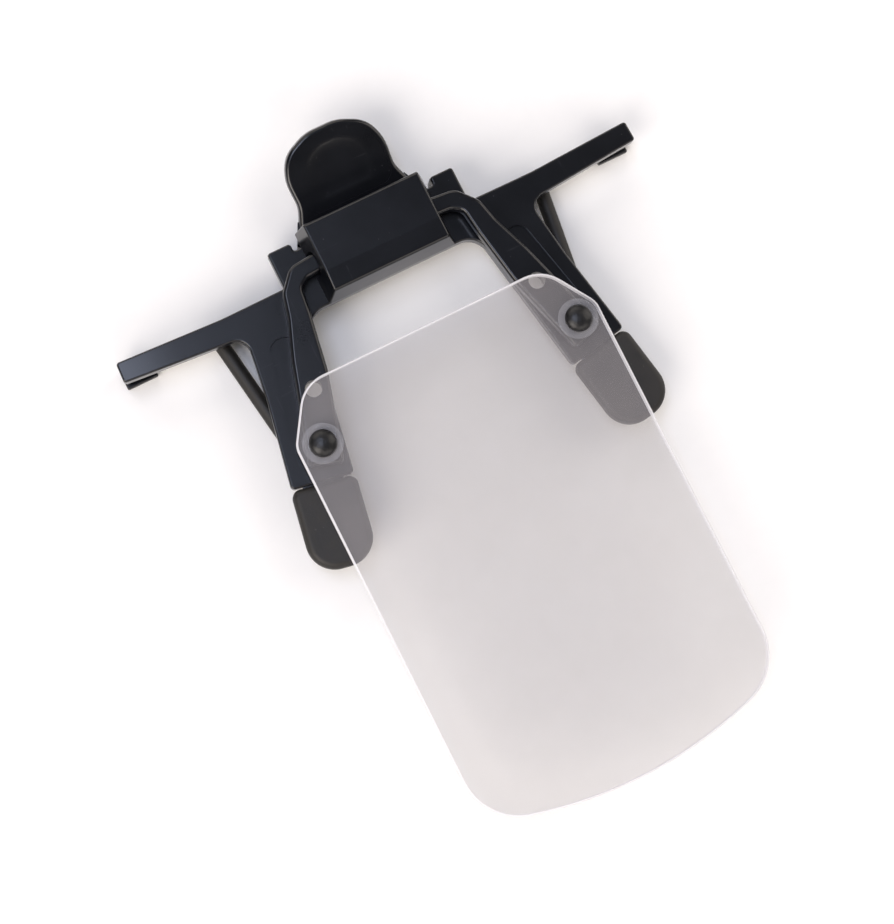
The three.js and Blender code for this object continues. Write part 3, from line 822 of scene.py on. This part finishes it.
# %% [markdown]
# ## Moulded black plastic
# The clip is moulded in black plastic with a satin skin. Such a skin is never even: it is a
# little bluish, slightly cloudy, has a very fine grain, and carries short handling marks that
# catch the light and small pale specks. Each of those is one pattern.

# %% Black moulding
plastic = Recipe("black_moulding")
cloud = plastic.noise(9, 3)
grain = plastic.noise(0.22, 2, seed=3)
swell = plastic.noise(2.6, 1, seed=5)
marks = plastic.noise(0.9, 3, stretch=(1, 0.06, 1), turn=0.5, seed=11).above(0.68, 0.05)
cross_marks = plastic.noise(0.8, 3, stretch=(0.05, 1, 1), turn=0.3, seed=17).above(0.7, 0.04)
speck = plastic.noise(0.55, 1, seed=23).above(0.79, 0.03)
worn = (marks + cross_marks) * cloud
tone = plastic.blend(cloud, (0.0016, 0.0018, 0.0030), (0.0042, 0.0050, 0.0078))
tone = plastic.blend(worn * 0.5, tone, (0.045, 0.047, 0.055))
tone = plastic.blend(speck * 0.6, tone, (0.10, 0.10, 0.11))
black_plastic = plastic.finish(
    Base_Color=tone,
    Roughness=0.23 + cloud * 0.10 + worn * 0.18 + grain * 0.04,
    Coat_Weight=0.35 + cloud * 0.2 - worn * 0.3,
    Normal=plastic.bump(grain * 0.3 + swell * 1.5 - worn * 0.5, 0.006),
    Coat_Roughness=0.1,
    Specular_IOR_Level=0.3,
    IOR=1.5,
)

# %% [markdown]
# ## Sleeve rubber
# The sleeves are a dull, brownish black rubber. It takes up skin grease in soft patches, so some
# areas are a little smoother than others, and it has a coarser skin than the plastic.

# %% Sleeve rubber
rubber = Recipe("sleeve_rubber")
patch = rubber.noise(3.2, 3, seed=2)
skin = rubber.noise(0.35, 3, seed=7)
dust = rubber.noise(0.5, 1, seed=13).above(0.74, 0.06)
tone = rubber.blend(patch, (0.006, 0.0052, 0.0048), (0.020, 0.0175, 0.0155))
tone = rubber.blend(dust * 0.35, tone, (0.12, 0.11, 0.10))
sleeve_rubber = rubber.finish(
    Base_Color=tone,
    Roughness=0.44 + patch * 0.2 + dust * 0.1,
    Normal=rubber.bump(skin * 0.6 + patch, 0.03),
    IOR=1.5,
)

# %% [markdown]
# ## Hazy acrylic
# The plate is clear sheet with an even fine haze: most light goes straight through, and the haze
# scatters a little, so black pieces behind it look slate grey. A glass shader would block the
# lamps and leave the floor under the plate dark, so each face is made partly see-through instead.
# The polished edge gathers the light of the whole sheet, and that bright line is painted in: the edge
# faces get a paler, denser finish, a painted highlight.

# %% Hazy acrylic
def hazy(name, low, high, cover):
    """Sheet between two tints that hides the share cover of what lies behind each face."""
    acrylic = Recipe(name)
    haze = acrylic.noise(14, 3, seed=4)
    fine = acrylic.noise(0.3, 2, seed=9)
    rubs = acrylic.noise(0.8, 4, stretch=(0.05, 1, 1), turn=0.9, seed=19).above(0.7, 0.08)
    return acrylic.finish(
        Base_Color=acrylic.blend(haze, low, high),
        Roughness=0.26 + haze * 0.08 + rubs * 0.12 + fine * 0.04,
        Normal=acrylic.bump(fine * 0.2 + rubs * 0.5, 0.004),
        Alpha=cover + (haze - 0.5) * 0.06 + rubs * 0.03,
        IOR=1.49,
    )


hazy_acrylic = hazy("hazy_acrylic", (0.37, 0.36, 0.385), (0.435, 0.41, 0.42), 0.222)
# painted highlight: the pale, nearly opaque colour of the edge faces paints in the light that the
# polished edge gathers
plate_edge_painted_glow = hazy("plate_edge_painted_glow", (0.80, 0.80, 0.84), (0.90, 0.89, 0.92), 0.72)

# %% [markdown]
# ## Clear washers
# The washers are clear moulded plastic. They lie on the plate and hardly show, apart from their
# edges, so they get the same partly see-through finish as the plate, with much less cover.

# %% Clear washer plastic
clear = Recipe("clear_plastic")
cloudy = clear.noise(2, 2, seed=6)
clear_plastic = clear.finish(
    Base_Color=clear.blend(cloudy, (0.55, 0.56, 0.62), (0.68, 0.69, 0.74)),
    Roughness=0.12 + cloudy * 0.1,
    Normal=clear.bump(cloudy, 0.01),
    Alpha=0.08 + cloudy * 0.06,
    IOR=1.49,
)

# %% [markdown]
# ## Rivet heads
# The rivet heads are black, with a worn gloss and a few dents, so their highlight is soft and
# broken. A smooth gloss would mirror every lamp as a sharp patch, so roughness and bump both vary.

# %% Rivet black
gloss = Recipe("rivet_black")
dent = gloss.noise(1.1, 2, seed=8)
scuff = gloss.noise(0.4, 3, stretch=(1, 0.2, 1), seed=21).above(0.68, 0.06)
rivet_black = gloss.finish(
    Base_Color=gloss.blend(scuff * 0.5, (0.004, 0.004, 0.005), (0.05, 0.05, 0.055)),
    Roughness=0.33 + dent * 0.10 + scuff * 0.2,
    Normal=gloss.bump(dent, 0.09),
    IOR=1.5,
)

# %% [markdown]
# ## Spring steel
# The wire, the pin and the springs are drawn steel: grey metal with fine lines along the drawing
# direction, which is mostly X here, and with faint stains. Stretched noise makes the lines.

# %% Spring steel
steel = Recipe("spring_steel")
drawn = steel.noise(0.25, 3, stretch=(0.15, 1, 1), seed=12)
stain = steel.noise(2.4, 3, seed=15)
spring_steel = steel.finish(
    Base_Color=steel.blend(stain, (0.46, 0.46, 0.47), (0.64, 0.645, 0.66)),
    Roughness=0.22 + drawn * 0.12 + stain * 0.1,
    Normal=steel.bump(drawn, 0.006),
    Metallic=1.0,
)

# %% [markdown]
# The record names one slot for each node, so one table from slot to material dresses both the
# imported bodies and the pieces that stand for them. Only the plate takes a second material: its
# two broad faces are hazy, and every face that looks sideways takes the painted edge highlight.

# %% Give every piece its finish
FLAT_ENOUGH = 0.98
FINISHES = {"black_moulding": black_plastic, "sleeve_rubber": sleeve_rubber,
            "hazy_acrylic": hazy_acrylic, "clear_plastic": clear_plastic,
            "rivet_black": rivet_black, "spring_steel": spring_steel}
for node, body in frame["nodes"].items():
    for piece in (body, made.get(node)):
        if piece is not None:
            piece.data.materials.clear()
            piece.data.materials.append(FINISHES[SLOT_OF[node]])
# the sideways faces of the plate take the painted edge highlight
plate.data.materials.append(plate_edge_painted_glow)
for face in plate.data.polygons:
    face.material_index = 0 if abs(face.normal.z) > FLAT_ENOUGH else 1
print("kept as packed:", sorted(set(frame["nodes"]) - set(made)))

# %% [markdown]
# # Studio
# The clip lies on a plain sheet of pale paper. A very large plane does for that. It lies a hair
# below the hooks, so that the two surfaces never fill the same place.

# %% Floor
FLOOR_SIZE, FLOOR_DROP = 6, 0.05
bpy.ops.object.select_all(action="DESELECT")
bpy.ops.mesh.primitive_plane_add(size=FLOOR_SIZE, location=(0, 0, -FLOOR_DROP * MM))
floor = bpy.context.object
floor.name = "floor"
paper = Recipe("floor")
weave = paper.noise(3, 2)
floor.data.materials.append(paper.finish(
    Base_Color=paper.blend(weave, (0.91, 0.91, 0.91), (0.93, 0.93, 0.93)),
    Roughness=0.85 + weave * 0.05,
))

# %% [markdown]
# One cool panel hangs overhead to the left, and four large warm ones stand further down all
# round. The overhead one is placed so that the left side of the clip mirrors it and the right
# side doesn't, which leaves the right side nearly black. The warm ones keep the floor white and
# the shadows faint. A single lamp would be simpler, but it would throw one hard shadow.

# %% Panels
COOL, WARM = (0.72, 0.79, 1.0), (1.0, 0.925, 0.86)
MIDDLE = (0, 0, 0)


def panel(name, spot, target, size, watts, colour):
    """A rectangular lamp of size metres at spot that faces target."""
    bpy.ops.object.light_add(type="AREA", location=spot)
    light = bpy.context.object
    light.name = name
    light.data.shape = "RECTANGLE"
    light.data.size, light.data.size_y = size
    light.data.energy, light.data.color = watts, colour
    light.rotation_euler = (Vector(target) - Vector(spot)).to_track_quat("-Z", "Y").to_euler()
    print(f"{name}: {watts} W")


panel("overhead", (-0.175, 0.2, 1.0), (-0.175, 0.2, 0), (0.31, 0.5), 3.1, COOL)
panel("key_left", (-1.0, -0.4, 0.95), MIDDLE, (1.0, 1.0), 17, WARM)
panel("fill_right", (1.4, 0.1, 0.9), MIDDLE, (1.2, 1.6), 12, WARM)
panel("fill_back", (0.1, 1.45, 0.9), MIDDLE, (1.8, 1.0), 11, WARM)
panel("fill_front", (0.1, -1.45, 0.9), MIDDLE, (1.8, 1.0), 11, WARM)

# %% [markdown]
# The air of the studio is a very weak, even, slightly cool light from all sides. Colours are
# shown as they are, with no film look, so the pale floor stays white.

# %% Studio air
AIR_COLOUR, AIR_STRENGTH = (0.93, 0.96, 1, 1), 0.07
world = bpy.data.worlds.new("studio")
bpy.context.scene.world = world
world.use_nodes = True
background = world.node_tree.nodes["Background"]
background.inputs["Color"].default_value = AIR_COLOUR
background.inputs["Strength"].default_value = AIR_STRENGTH
bpy.context.scene.view_settings.view_transform = "Standard"
print("air strength:", AIR_STRENGTH)
